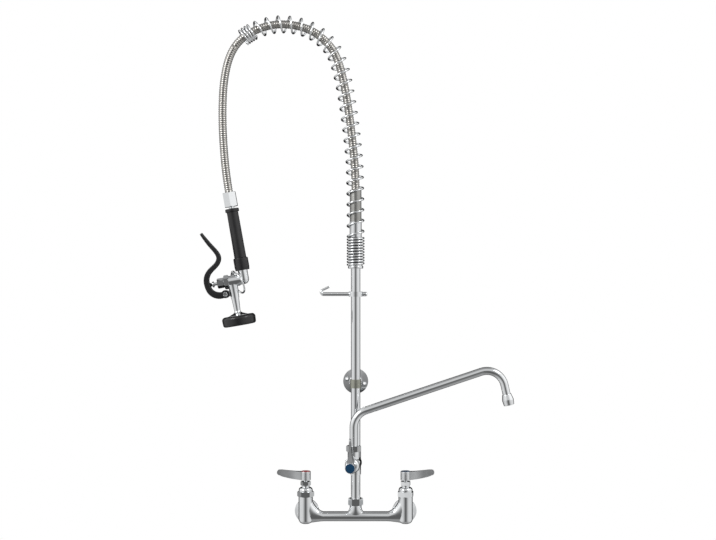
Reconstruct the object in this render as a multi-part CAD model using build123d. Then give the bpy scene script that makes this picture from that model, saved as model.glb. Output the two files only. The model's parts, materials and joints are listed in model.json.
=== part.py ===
from build123d import *
import os
from math import asin, atan2, cos, degrees, pi, radians, sin, sqrt, tan

# Wall-mounted pre-rinse kitchen faucet, in millimetres.
# +X is right, +Y goes into the wall and +Z is up.
# The origin lies on the wall, midway between the two supply inlets.

# Clearances
FIT = 0.05
RUN = 0.05
AIR = 0.3

# Mixing body
VALVE_CENTRES = 203.2
WALL_OFFSET = 63.5
BAR_R = 10.0
BAR_BORE_R = 6.5
CHAMBER_R = 14.5
CHAMBER_TOP = 40.0
CHAMBER_BOTTOM = -15.0
CHAMBER_ROUND = 10.0
CARTRIDGE_R = 11.0
CARTRIDGE_DEPTH = 22.0
PORT_R = 7.0
SLANT_BORE_R = 4.0
HORN_LENGTH = 37.0
# Share of the horn's length, then of its growth below, above and beside the bar
HORN_STATIONS = (
    (0.135, 0.60, 0.95, 0.62),
    (0.324, 0.58, 0.85, 0.42),
    (0.460, 0.44, 0.53, 0.27),
    (0.650, 0.24, 0.23, 0.11),
    (0.810, 0.10, 0.08, 0.02),
    (1.000, 0.00, 0.00, 0.00),
)
BOSS_R = 12.0
BOSS_TOP = 21.0
BOSS_SPREAD = 24.0

# Supply unions
ARM_R = 12.5
SPIGOT_R = 10.5
SPIGOT_LENGTH = 12.0
UNION_SETBACK = 30.0
SNAP_RING_WIDTH = 2.0
SNAP_RING_RISE = 1.5
SNAP_RING_END = 2.5
UNION_LIP = 3.5
UNION_HEX = 32.0
UNION_NUT_LENGTH = 21.0
WASHER_THICK = 2.0
TAIL_R = 12.5
TAIL_LENGTH = 15.0
SUPPLY_THREAD_R = 10.3
SUPPLY_THREAD_DEPTH = 15.0
FLANGE_R = 25.0
FLANGE_EDGE = 5.0
FLANGE_NECK_R = 14.5

# Column
RISER_R = 9.5
RISER_WALL = 1.5
RISER_COLLAR = 1.0
COLLAR_THICK = 1.5
NECK_HEIGHT = 10.0
RISER_NUT_HEX = 26.4
RISER_NUT_GAP = 1.4
RISER_NUT_LIP = 2.5

# Valve cartridge and handle, along the valve's own axis from the chamber's top
BONNET_HEX = 30.0
BONNET_HEX_HEIGHT = 11.0
DOME_R = 14.2
DOME_HEIGHT = 8.5
DOME_ROUND = 6.0
BONNET_NECK_R = 8.0
BONNET_NECK_HEIGHT = 3.5
STEM_THREAD_R = 7.0
STEM_THREAD_HEIGHT = 7.0
PACKING_HEX = 18.5
PACKING_LIP = 1.0
SPINDLE_R = 4.0
SPINE_R = 3.6
DISC_THICK = 4.0
DISC_R = 8.9
DISC_PORT_R = 2.6
DISC_PORT_OFFSET = 4.5
SPINDLE_FOOT = 2.5
WINDOW_R = 3.0
STEM_RING_R = 0.9
HUB_R = 10.2
HUB_HEIGHT = 18.3
HUB_LIFT = 2.3
HUB_ROUND = 0.8
HUB_SOCKET = 12.7
HANDLE_REACH = 58.5
# Share of the reach, thickness, lowest and highest point above the hub's foot
LEVER_STATIONS = (
    (0.07, 15.0, 1.2, 17.7),
    (0.20, 12.8, 1.5, 18.0),
    (0.34, 9.2, 2.1, 18.5),
    (0.48, 6.4, 3.2, 19.4),
    (0.62, 4.8, 4.7, 20.2),
    (0.80, 3.8, 7.3, 21.5),
    (0.93, 3.2, 10.3, 21.5),
)
LEVER_TIP_Z = 16.2
LEVER_ROUND = 1.2
INDEX_R = 9.4
INDEX_THICK = 1.8
INDEX_RISE = 0.5
SCREW_R = 2.0
SCREW_LENGTH = 9.0
SCREW_HEAD_R = 3.8
SCREW_HEAD_HEIGHT = 2.0
HOT_HEX_TURN = 0.0
COLD_HEX_TURN = 22.0
ADDON_HEX_TURN = 0.0

# Add-on faucet in the column
ADDON_Z = 112.0
ADDON_SKEW = 10.9
ADDON_REACH = 48.9
ADDON_BACK = 13.0
TEE_R = 10.9
TEE_BELOW = 26.5
TEE_ABOVE = 30.0
TEE_SOCKET = 15.0
SPOUT_FORWARD = 36.5
SPOUT_BOSS_R = 12.0
SPOUT_BOSS_HEIGHT = 24.5
SPOUT_NECK_R = 10.9
SPOUT_NECK_HEIGHT = 8.5
SPOUT_SOCKET_FLOOR = 17.0
SPOUT_PORT_R = 5.0
SPOUT_RING_R = 0.8
SPOUT_NUT_HEX = 26.0
SPOUT_NUT_LIP = 2.5

# Swing spout, from the spout's own axis
SPOUT_TUBE_R = 8.0
SPOUT_WALL = 1.2
SPOUT_COLLAR_R = 9.6
SPOUT_COLLAR_THICK = 1.2
SPOUT_REACH = 312.0
SPOUT_ARM_RISE = 18.5
SPOUT_KNEE_Z = 211.0
SPOUT_OUTLET_Z = 230.0
SPOUT_DROP_LEAN = 13.0
SPOUT_BEND_R = 36.0
TIP_R = 11.75
TIP_END_R = 10.4
TIP_NECK_R = 9.2
TIP_WIDEST = 10.5
TIP_LENGTH = 22.0
TIP_SOCKET = 10.0
TIP_LEDGE_R = 6.6
TIP_ROUND = 0.8
STRAIGHTENER_R = 8.8
STRAIGHTENER_THICK = 5.8
STRAIGHTENER_INSET = 1.2
STRAIGHTENER_HOLE_R = 2.0
STRAIGHTENER_PITCH_R = 5.8

# Wall bracket
BRACKET_Z = 269.8
BRACKET_R = 26.0
BRACKET_EDGE = 4.0
BRACKET_DEPTH = 14.0
BRACKET_BOSS_R = 10.5
BRACKET_PCD = 38.0
BRACKET_HOLE_R = 2.6
BRACKET_SINK_R = 5.0
BRACKET_HOLE_ANGLE = 165.0
BRACKET_ROD_R = 7.0
BRACKET_ROD_END = 3.0
CLAMP_WALL = 1.8
CLAMP_HEIGHT = 17.6
CLAMP_BOSS_R = 9.4
CLAMP_BOSS_LENGTH = 13.0
CLAMP_SOCKET = 10.0
CLAMP_SCREW_R = 2.0
CLAMP_SCREW_HEAD_R = 3.0
CLAMP_SCREW_PROUD = 3.0

# Finger hook
HOOK_Z = 452.0
HOOK_COLLAR_R = 14.0
HOOK_COLLAR_HEIGHT = 10.0
HOOK_ROD_R = 3.8
HOOK_TIP_R = 2.3
HOOK_BEND_X = 65.5
HOOK_BEND_R = 4.4
HOOK_BEND_TURN = 155.0
HOOK_TIP_LENGTH = 13.6
HOOK_SCREW_R = 2.0
HOOK_SCREW_HEAD_R = 4.4
HOOK_SCREW_HEAD_LENGTH = 9.4

# Overhead spring, its hub and the hose's lower end
HUB_FLANGE_Z = 504.0
HUB_FLANGE_R = 15.5
HUB_FLANGE_THICK = 5.5
SPRING_HUB_R = 13.9
SPRING_HUB_TOP = 568.0
SPRING_HUB_SOCKET = 41.0
HUB_NIPPLE_R = 9.0
HUB_NIPPLE_HEIGHT = 17.0
HUB_BORE_R = 5.5
HOSE_NUT_R = 12.1
HOSE_NUT_LENGTH = 31.0
FERRULE_R = 11.8
FERRULE_TOP = 664.0
FERRULE_SOCKET = 24.0
SPRING_R = 16.25
SPRING_WIRE_R = 2.0
CLOSED_TURNS = 10
CLOSED_PITCH = 5.7
OPEN_TURNS = 26
END_TURNS = 4
END_PITCH = 5.8
SPRING_END_GAP = 24.0

# Hose: (x, z) points of its route in the riser's plane, from the ferrule to the swivel nut
HOSE_R = 8.25
HOSE_VALLEY_R = 7.4
HOSE_BORE_R = 5.0
RIB_PITCH = 6.6
RIB_SPLIT_END = 6.0
OVERHEAD_POINTS = (
    (0.0, 640.0),
    (0.0, 696.0),
    (-6.2, 761.5),
    (-13.3, 820.5),
    (-22.7, 877.5),
    (-34.3, 925.4),
    (-50.8, 958.1),
    (-90.3, 991.4),
    (-146.1, 1003.3),
    (-193.7, 995.0),
    (-234.5, 972.0),
)
HANGING_POINTS = (
    (-257.3, 937.6),
    (-268.3, 887.7),
    (-271.3, 834.8),
    (-270.5, 779.8),
    (-266.6, 724.8),
    (-261.3, 679.0),
    (-253.9, 636.7),
)
ARC_SHARE = 0.45

# Spray valve, in its own frame: Z up the grip, X right, origin at the grip's foot
GRIP_LENGTH = 127.0
GRIP_R = 11.6
GRIP_LOW_R = 12.2
GRIP_COLLAR_R = 15.0
GRIP_COLLAR_HEIGHT = 24.5
GRIP_FLANGE_R = 14.0
GRIP_FLANGE_HEIGHT = 7.0
HANDLE_TUBE_R = 8.0
HANDLE_BORE_R = 5.0
NIPPLE_R = 5.2
NIPPLE_BORE_R = 3.4
NIPPLE_GAP = 4.0
NIPPLE_FLANGE_R = 8.1
NIPPLE_FLANGE_THICK = 3.0
SWIVEL_HEX = 25.4
SWIVEL_TURN = 30.0
SWIVEL_LIP = 4.0
SWIVEL_LENGTH = 29.5
ELBOW_R = 9.85
ELBOW_BORE_R = 6.6
ELBOW_SPIGOT_R = 8.5
ELBOW_SPIGOT_END = 16.0
BARREL_Z = -18.5
BARREL_R = 11.5
BARREL_RIGHT = -10.0
BARREL_LEFT = -31.0
SEAT_X = -19.0
SEAT_THICK = 2.0
SEAT_HOLE_R = 4.0
BARREL_BORE_R = 8.0
OUTLET_X = -24.5
OUTLET_R = 8.4
OUTLET_TOP_R = 10.2
OUTLET_BORE_R = 3.5
OUTLET_END = -53.0
GUN_HEX = 25.0
GUN_HEX_LENGTH = 10.0
GUN_PACKING_HEX = 18.0
GUN_PACKING_LENGTH = 14.0
GUN_BONNET_BORE_R = 7.0
GUN_BONNET_WALL = 3.0
STEM_R = 3.0
STEM_CAP_R = 6.0
STEM_CAP_THICK = 3.5
STEM_CAP_END = -65.5
PLUNGER_COLLAR_R = 6.2
PLUNGER_COLLAR_X = -34.0
PLUNGER_COLLAR_THICK = 2.0
WASHER_PIN_R = 2.5
VALVE_WASHER_R = 6.0
VALVE_WASHER_THICK = 2.5
PLUNGER_HEAD_R = 4.5
PLUNGER_HEAD_THICK = 1.5
RETURN_WIRE_R = 0.55
RETURN_COIL_R = 5.0
RETURN_TURNS = 5
LEVER_PIVOT_X = -42.4
LEVER_PIVOT_Z = -42.1
LEVER_EYE_R = 8.2
LEVER_WIDTH = 16.0
LUG_THICK = 6.4
LUG_R = 6.0
PIVOT_R = 3.0
PIVOT_HEAD_R = 4.4
PIVOT_HEAD_THICK = 2.2
PIVOT_SLOT = 1.2
# Squeeze lever's centreline from the pivot to the tip: x, z and thickness
SQUEEZE_STATIONS = (
    (-44.0, -42.2, 13.4),
    (-60.0, -41.4, 13.4),
    (-70.0, -34.2, 12.4),
    (-75.6, -20.0, 11.2),
    (-75.2, -5.3, 10.6),
    (-69.0, 6.0, 10.2),
    (-58.3, 14.6, 9.8),
    (-47.8, 23.2, 9.2),
    (-43.4, 33.2, 8.8),
    (-46.0, 44.0, 8.5),
    (-54.0, 57.4, 8.0),
    (-63.2, 73.2, 7.0),
    (-70.4, 87.6, 5.0),
)
SQUEEZE_ROUND = 1.8
PAD_R = 4.0
PAD_SLACK = 0.3
RING_R = 23.0
RING_WIRE_R = 1.75
RING_EYE = (-20.0, 0.0, -1.3)
RING_YAW = 28.6
RING_LEAN = 17.0
EYE_R = 3.7
EYE_THICK = 4.0
HEAD_NECK_R = 6.0
HEAD_NECK_END = -83.0
HEAD_BORE_R = 3.5
HEAD_SHOULDER_R = 19.5
HEAD_SHOULDER_Z = -88.5
HEAD_SKIRT_R = 24.0
HEAD_SKIRT_TOP = -92.0
HEAD_SKIRT_END = -103.0
HEAD_WALL = 2.2
BUMPER_R = 34.5
BUMPER_TOP = -89.0
BUMPER_END = -109.4
BUMPER_ROUND = 6.5
BUMPER_LIP = 2.6
BUMPER_MOUTH_R = 26.5
FACE_THICK = 2.5
JET_R = 0.9
JET_RINGS = ((8, 7.0), (14, 12.0), (20, 17.0))
FACE_SCREW_R = 3.5

# Values worked out from those above
HALF = VALVE_CENTRES / 2
RISER_Y = -WALL_OFFSET
BASE = (Align.CENTER, Align.CENTER, Align.MIN)
ALONG_X = Rot(0, 90, 0)
ALONG_Y = Rot(-90, 0, 0)
AT_RISER = Pos(0, RISER_Y, 0)
NECK_R = RISER_R + RISER_COLLAR
NECK_TOP = BOSS_TOP + NECK_HEIGHT
COLLAR_LOW = NECK_TOP + WASHER_THICK
COLLAR_TOP = COLLAR_LOW + COLLAR_THICK
NECK_LOW = BONNET_HEX_HEIGHT + DOME_HEIGHT
THREAD_LOW = NECK_LOW + BONNET_NECK_HEIGHT
THREAD_TOP = THREAD_LOW + STEM_THREAD_HEIGHT
HUB_FOOT = THREAD_TOP + PACKING_LIP + HUB_LIFT
ADDON_YAW = asin(ADDON_SKEW / (ADDON_REACH + HUB_FOOT + HUB_HEIGHT))
FORWARD = Vector(-sin(ADDON_YAW), -cos(ADDON_YAW), 0)
UP = Vector(0, 0, 1)
TEE_CENTRE = Vector(0, RISER_Y, ADDON_Z)
SPOUT_AXIS = TEE_CENTRE + FORWARD * SPOUT_FORWARD
SPOUT_NECK_LOW = ADDON_Z + SPOUT_BOSS_HEIGHT
SPOUT_NECK_TOP = SPOUT_NECK_LOW + SPOUT_NECK_HEIGHT
SPOUT_FOOT = ADDON_Z + SPOUT_SOCKET_FLOOR


def rod(radius, low, high):
    """Round bar along Z."""
    return Pos(0, 0, low) * Cylinder(radius, high - low, align=BASE)


def pipe(outer, inner, low, high):
    """Round tube along Z."""
    return rod(outer, low, high) - rod(inner, low, high)


def turned(*corners):
    """Solid of revolution about Z from (radius, height) corners; a third value rounds that corner."""
    outline = make_face(Polyline(*[corner[:2] for corner in corners], close=True))
    for radius, height, round_r in [corner for corner in corners if len(corner) == 3]:
        vertex = outline.vertices().sort_by_distance((radius, height, 0))[0]
        outline = fillet(vertex, round_r)
    return revolve(Plane.XZ * outline, Axis.Z)


def hex_bar(across, low, high, turn=0.0):
    """Hexagonal bar along Z whose corners are turned off at both ends."""
    prism = extrude(RegularPolygon(across / 2, 6, major_radius=False, rotation=turn), high - low)
    corner = across / 2 / cos(pi / 6)
    slope = (corner - across / 2) * tan(pi / 6)
    barrel = turned(
        (0, low),
        (across / 2, low),
        (corner, low + slope),
        (corner, high - slope),
        (across / 2, high),
        (0, high),
    )
    return (Pos(0, 0, low) * prism) & barrel


def bar_between(start, end, radius):
    """Round bar from one point to another."""
    run = Vector(end) - Vector(start)
    return Plane(origin=start, z_dir=run) * Cylinder(radius, run.length, align=BASE)


def holes_on_circle(radius, pitch_r, count, low, high):
    """Round bars along Z, evenly spaced on a circle."""
    return [loc * rod(radius, low, high) for loc in PolarLocations(pitch_r, count)]


def swept_tube(path, outer, inner):
    """Round tube along a path."""
    section = Plane(origin=path @ 0, z_dir=path % 0)
    return sweep(section * Circle(outer), path) - sweep(section * Circle(inner), path)


def biarc(start, start_dir, end, end_dir):
    """Two arcs that leave start along start_dir and reach end along end_dir."""
    chord = end - start
    square = 2 * (start_dir.dot(end_dir) - 1)
    linear = -2 * chord.dot(start_dir + end_dir)
    reach = (-linear - sqrt(linear**2 - 4 * square * chord.dot(chord))) / (2 * square)
    first, last = start + start_dir * reach, end - end_dir * reach
    middle = (first + last) * 0.5
    return [
        Edge.make_tangent_arc(start, start_dir, middle),
        Edge.make_tangent_arc(middle, last - first, end),
    ]


def wound_wire(place, pitches, wire_r, name):
    """Wire swept along a helix; place(turns, advance) gives its point, pitches one value a half turn."""
    advance = [0.0]
    for pitch in pitches:
        advance.append(advance[-1] + pitch / 2)
    slopes = [pitches[0]] + [(a + b) / 2 for a, b in zip(pitches, pitches[1:])] + [pitches[-1]]
    step = 1e-3
    points, directions = [], []
    for half, (along, slope) in enumerate(zip(advance, slopes)):
        ahead = place(half / 2 + step, along + slope * step)
        behind = place(half / 2 - step, along - slope * step)
        points.append(place(half / 2, along))
        directions.append((ahead - behind).normalized())
    arcs = []
    for k in range(len(points) - 1):
        arcs += biarc(points[k], directions[k], points[k + 1], directions[k + 1])
    samples = [arc @ share for arc in arcs for share in (0.0, 0.25, 0.5, 0.75)]
    one_turn = 16
    gap = min(
        (samples[i] - samples[j]).length
        for i in range(len(samples))
        for j in range(i + one_turn * 5 // 8, min(i + 2 * one_turn, len(samples)))
    )
    print(f"{name}: least gap to itself {gap - 2 * wire_r:.2f} mm")
    return sweep(Plane(origin=points[0], z_dir=directions[0]) * Circle(wire_r), Wire(arcs))


def inlet(side):
    """Parts of one supply union, along Y from the wall: flange, nut, snap ring and washer."""
    ring_front = -UNION_SETBACK - SNAP_RING_END - SNAP_RING_WIDTH
    nut_front = ring_front - UNION_LIP
    tail_front = WASHER_THICK - UNION_SETBACK
    tail_end = tail_front + TAIL_LENGTH
    flange = turned(
        (PORT_R, tail_front),
        (TAIL_R, tail_front),
        (TAIL_R, tail_end),
        (FLANGE_NECK_R, tail_end),
        (FLANGE_NECK_R, -FLANGE_EDGE - (FLANGE_R - FLANGE_NECK_R) / 3),
        (FLANGE_R, -FLANGE_EDGE),
        (FLANGE_R, 0),
        (SUPPLY_THREAD_R, 0),
        (SUPPLY_THREAD_R, -SUPPLY_THREAD_DEPTH),
        (PORT_R, -SUPPLY_THREAD_DEPTH),
    )
    nut = hex_bar(UNION_HEX, nut_front, nut_front + UNION_NUT_LENGTH)
    nut -= rod(SPIGOT_R + FIT, nut_front, ring_front)
    nut -= rod(TAIL_R + FIT, ring_front, nut_front + UNION_NUT_LENGTH)
    groove_r = SPIGOT_R - SNAP_RING_RISE
    ring = pipe(SPIGOT_R + SNAP_RING_RISE, groove_r + FIT, ring_front, ring_front + SNAP_RING_WIDTH)
    washer = pipe(SPIGOT_R, PORT_R, -UNION_SETBACK, tail_front)
    place = Pos(side * HALF, 0, 0) * ALONG_Y
    return place * flange, place * nut, place * ring, place * washer


def inlet_arm(side):
    """Arm of the casting from a valve chamber back to its union, and the water way in it."""
    shoulder = -UNION_SETBACK - SPIGOT_LENGTH
    ring_back = -UNION_SETBACK - SNAP_RING_END
    groove = pipe(SPIGOT_R + 1, SPIGOT_R - SNAP_RING_RISE, ring_back - SNAP_RING_WIDTH, ring_back)
    arm = rod(ARM_R, RISER_Y, shoulder) + rod(SPIGOT_R, shoulder, -UNION_SETBACK) - groove
    place = Pos(side * HALF, 0, 0) * ALONG_Y
    return place * arm, place * rod(PORT_R, RISER_Y, -UNION_SETBACK)


def horn(side):
    """Flare that carries the bar up into a valve chamber."""
    sections = []
    for length, below, above, beside in HORN_STATIONS:
        low = -BAR_R - below * (-CHAMBER_BOTTOM - BAR_R)
        high = BAR_R + above * (CHAMBER_TOP - BAR_R)
        width = BAR_R + beside * (CHAMBER_R - BAR_R)
        centre = (side * (HALF - length * HORN_LENGTH), RISER_Y, (low + high) / 2)
        plane = Plane(origin=centre, x_dir=(0, 1, 0), z_dir=(-side, 0, 0))
        sections.append(plane * Ellipse(width, (high - low) / 2))
    return loft(sections)


def mixing_body():
    """Casting with the bar, two valve chambers, two inlet arms and the boss for the column."""
    bar_half = HALF - HORN_LENGTH
    body = AT_RISER * ALONG_X * rod(BAR_R, -bar_half, bar_half)
    boss_stations = ((0.3, 1.0, -0.3), (0.8, 0.45, 0.0), (1.4, 0.1, 0.7), (BOSS_TOP / BAR_R, 0.0, 1.0))
    sections = []
    for height, spread, beside in boss_stations:
        long_r = BOSS_R + spread * (BOSS_SPREAD - BOSS_R)
        short_r = BAR_R + beside * (BOSS_R - BAR_R)
        sections.append(Plane(origin=(0, RISER_Y, height * BAR_R)) * Ellipse(long_r, short_r))
    body += loft(sections)
    body += AT_RISER * rod(NECK_R, BOSS_TOP - 1, NECK_TOP)
    floor = CHAMBER_TOP - CARTRIDGE_DEPTH
    hollow = [
        AT_RISER * ALONG_X * rod(BAR_BORE_R, -bar_half, bar_half),
        AT_RISER * rod(PORT_R, 0, NECK_TOP),
    ]
    for side in (-1, 1):
        at_chamber = Pos(side * HALF, RISER_Y, 0)
        arm, arm_bore = inlet_arm(side)
        body += at_chamber * turned(
            (0, CHAMBER_BOTTOM),
            (CHAMBER_R, CHAMBER_BOTTOM, CHAMBER_ROUND),
            (CHAMBER_R, CHAMBER_TOP),
            (0, CHAMBER_TOP),
        )
        body += horn(side)
        body += arm
        slant_top = (side * (HALF - CARTRIDGE_R * 0.8), RISER_Y, floor + CARTRIDGE_DEPTH * 0.4)
        slant_end = (side * bar_half, RISER_Y, 0)
        hollow += [
            arm_bore,
            at_chamber * rod(CARTRIDGE_R, floor, CHAMBER_TOP),
            at_chamber * rod(PORT_R, 0, floor),
            bar_between(slant_top, slant_end, SLANT_BORE_R),
        ]
    for space in hollow:
        body -= space
    return body


def lever_blade():
    """Flat blade along +X that widens towards the hub and ends in a round tip."""
    top = [(share * HANDLE_REACH, 0, high) for share, thick, low, high in LEVER_STATIONS]
    bottom = [(share * HANDLE_REACH, 0, low) for share, thick, low, high in LEVER_STATIONS]
    left = [(share * HANDLE_REACH, thick / 2, 0) for share, thick, low, high in LEVER_STATIONS]
    right = [(x, -y, z) for x, y, z in left]
    tip = ThreePointArc(top[-1], (HANDLE_REACH, 0, LEVER_TIP_Z), bottom[-1])
    front_view = make_face([Spline(*top), tip, Spline(*bottom), Line(bottom[0], top[0])])
    end = (HANDLE_REACH + 1, left[-1][1], 0)
    edges = [Spline(*left), Line(left[-1], end), Line(end, (end[0], -end[1], 0))]
    edges += [Line((end[0], -end[1], 0), right[-1]), Spline(*right), Line(right[0], left[0])]
    blade = extrude(front_view, HUB_R, dir=(0, 1, 0), both=True)
    blade &= extrude(make_face(edges), 2 * HUB_HEIGHT, dir=(0, 0, 1))
    flanks = blade.faces().sort_by(Axis.Y)
    return fillet(flanks[0].edges() + flanks[-1].edges(), LEVER_ROUND)


def lever_handle():
    """Hub with the lever along +X; its foot is at zero and its top holds the index cap."""
    hub = turned((0, 0), (HUB_R, 0, HUB_ROUND), (HUB_R, HUB_HEIGHT, HUB_ROUND), (0, HUB_HEIGHT))
    pocket = HUB_HEIGHT - INDEX_THICK
    handle = hub + lever_blade()
    handle -= rod(INDEX_R, pocket, HUB_HEIGHT + 1)
    handle -= rod(SCREW_HEAD_R + AIR, pocket - SCREW_HEAD_HEIGHT, pocket)
    handle -= rod(SCREW_R + FIT, 0, pocket)
    handle -= rod(SPINE_R + FIT, 0, HUB_SOCKET)
    return handle


def valve(place, hex_turn):
    """All pieces of one quarter-turn valve, with Z along its spindle from the chamber's top."""
    foot = -CARTRIDGE_DEPTH
    disc_low = foot + DISC_THICK
    spindle_low = disc_low + DISC_THICK
    cavity_top = spindle_low + SPINDLE_FOOT + 2.5 * WINDOW_R
    ring_z = THREAD_TOP - 2 * STEM_RING_R
    bonnet = hex_bar(BONNET_HEX, 0, BONNET_HEX_HEIGHT, hex_turn) + turned(
        (0, foot),
        (CARTRIDGE_R - FIT, foot),
        (CARTRIDGE_R - FIT, BONNET_HEX_HEIGHT),
        (DOME_R, BONNET_HEX_HEIGHT),
        (DOME_R, NECK_LOW, DOME_ROUND),
        (BONNET_NECK_R, NECK_LOW),
        (BONNET_NECK_R, THREAD_LOW),
        (STEM_THREAD_R, THREAD_LOW),
        (STEM_THREAD_R, THREAD_TOP),
        (0, THREAD_TOP),
    )
    bonnet -= rod(SPINDLE_R + RUN, foot, THREAD_TOP)
    bonnet -= rod(DISC_R + FIT, foot, cavity_top)
    bonnet -= rod(SPINDLE_R + 2 * STEM_RING_R + 4 * RUN, ring_z - STEM_RING_R, THREAD_TOP)
    window = Pos(0, 0, cavity_top - 1.25 * WINDOW_R) * ALONG_X * rod(WINDOW_R, DISC_R / 2, CARTRIDGE_R + 1)
    for turn in (45, 135, 225, 315):
        bonnet -= Rot(0, 0, turn) * window
    packing = hex_bar(PACKING_HEX, THREAD_LOW, THREAD_TOP + PACKING_LIP, hex_turn)
    packing -= rod(STEM_THREAD_R + FIT, THREAD_LOW, THREAD_TOP)
    packing -= rod(SPINDLE_R + AIR, THREAD_TOP, THREAD_TOP + PACKING_LIP)
    stem_ring = Pos(0, 0, ring_z) * Torus(SPINDLE_R + STEM_RING_R + 2 * RUN, STEM_RING_R)
    fixed_disc = rod(DISC_R, foot, disc_low)
    turning_disc = rod(DISC_R - FIT, disc_low + RUN, spindle_low)
    for port in holes_on_circle(DISC_PORT_R, DISC_PORT_OFFSET, 2, foot, spindle_low):
        fixed_disc -= port
        turning_disc -= Rot(0, 0, 90) * port
    pocket = HUB_FOOT + HUB_HEIGHT - INDEX_THICK
    screw_low = pocket - SCREW_HEAD_HEIGHT - SCREW_LENGTH
    spine_top = HUB_FOOT + HUB_SOCKET - AIR
    spindle = rod(DISC_R - FIT, spindle_low, spindle_low + SPINDLE_FOOT)
    spindle += rod(SPINDLE_R, spindle_low, HUB_FOOT)
    spindle += rod(SPINE_R, HUB_FOOT, spine_top)
    spindle -= rod(SCREW_R + FIT, screw_low - AIR, spine_top)
    screw = rod(SCREW_R, screw_low, pocket) + rod(SCREW_HEAD_R, pocket - SCREW_HEAD_HEIGHT, pocket)
    cap_top = pocket + INDEX_THICK
    index = turned(
        (0, pocket),
        (INDEX_R - FIT, pocket),
        (INDEX_R - FIT, cap_top),
        (INDEX_R - FIT - INDEX_RISE, cap_top + INDEX_RISE),
        (0, cap_top + INDEX_RISE),
    )
    pieces = {
        "bonnet": bonnet,
        "packing": packing,
        "stem_ring": stem_ring,
        "fixed_disc": fixed_disc,
        "disc": turning_disc,
        "spindle": spindle,
        "handle": Pos(0, 0, HUB_FOOT) * lever_handle(),
        "screw": screw,
        "index": index,
    }
    return {name: place * piece for name, piece in pieces.items()}


def column():
    """Riser nut, riser washer and the two riser tubes."""
    nut_low = BOSS_TOP + RISER_NUT_GAP
    lip_low = COLLAR_TOP + FIT
    nut = hex_bar(RISER_NUT_HEX, nut_low, lip_low + RISER_NUT_LIP)
    nut -= rod(NECK_R + FIT, nut_low, lip_low)
    nut -= rod(RISER_R + FIT, lip_low, lip_low + RISER_NUT_LIP)
    washer = pipe(NECK_R, RISER_R - RISER_WALL, NECK_TOP, COLLAR_LOW)
    low_end = ADDON_Z - TEE_BELOW + TEE_SOCKET
    lower = pipe(RISER_R, RISER_R - RISER_WALL, COLLAR_LOW, low_end)
    lower += pipe(NECK_R, RISER_R - RISER_WALL, COLLAR_LOW, COLLAR_TOP)
    top_end = HUB_FLANGE_Z + SPRING_HUB_SOCKET
    upper = pipe(RISER_R, RISER_R - RISER_WALL, ADDON_Z + TEE_ABOVE - TEE_SOCKET, top_end)
    return AT_RISER * nut, AT_RISER * washer, AT_RISER * lower, AT_RISER * upper


def addon_body():
    """Tee in the column with a forward valve chamber and an upright boss for the spout."""
    along = Plane(origin=TEE_CENTRE, x_dir=UP, z_dir=FORWARD)
    low, high = ADDON_Z - TEE_BELOW, ADDON_Z + TEE_ABOVE
    boss_place = Pos(SPOUT_AXIS.X, SPOUT_AXIS.Y, 0)
    body = AT_RISER * rod(TEE_R, low, high)
    body += along * turned(
        (0, ADDON_BACK),
        (CHAMBER_R, ADDON_BACK, CHAMBER_R - TEE_R),
        (CHAMBER_R, ADDON_REACH),
        (0, ADDON_REACH),
    )
    body += along * rod(TEE_R, 0, ADDON_BACK + 1)
    body += boss_place * rod(SPOUT_BOSS_R, ADDON_Z, SPOUT_NECK_LOW)
    body += boss_place * rod(SPOUT_NECK_R, SPOUT_NECK_LOW, SPOUT_NECK_TOP)
    body -= AT_RISER * rod(RISER_R - RISER_WALL, low, high)
    body -= AT_RISER * rod(RISER_R + FIT, low, low + TEE_SOCKET)
    body -= AT_RISER * rod(RISER_R + FIT, high - TEE_SOCKET, high)
    floor = ADDON_REACH - CARTRIDGE_DEPTH
    body -= along * rod(SPOUT_PORT_R, 0, floor)
    body -= along * rod(CARTRIDGE_R, floor, ADDON_REACH)
    body -= boss_place * rod(SPOUT_PORT_R, ADDON_Z, SPOUT_FOOT)
    body -= boss_place * rod(SPOUT_TUBE_R + RUN, SPOUT_FOOT, SPOUT_NECK_TOP)
    groove_r = SPOUT_TUBE_R + 2 * SPOUT_RING_R + 4 * RUN
    ring_z = (SPOUT_FOOT + SPOUT_NECK_LOW) / 2
    body -= boss_place * rod(groove_r, ring_z - SPOUT_RING_R - FIT, ring_z + SPOUT_RING_R + FIT)
    ring = boss_place * Pos(0, 0, ring_z) * Torus(SPOUT_TUBE_R + SPOUT_RING_R + 2 * RUN, SPOUT_RING_R)
    nut_low = SPOUT_NECK_LOW + FIT
    lip_low = SPOUT_NECK_TOP + SPOUT_COLLAR_THICK + 2 * RUN
    nut = hex_bar(SPOUT_NUT_HEX, nut_low, lip_low + SPOUT_NUT_LIP)
    nut -= rod(SPOUT_NECK_R + FIT, nut_low, lip_low)
    nut -= rod(SPOUT_TUBE_R + AIR, lip_low, lip_low + SPOUT_NUT_LIP)
    return body, ring, boss_place * nut


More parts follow.
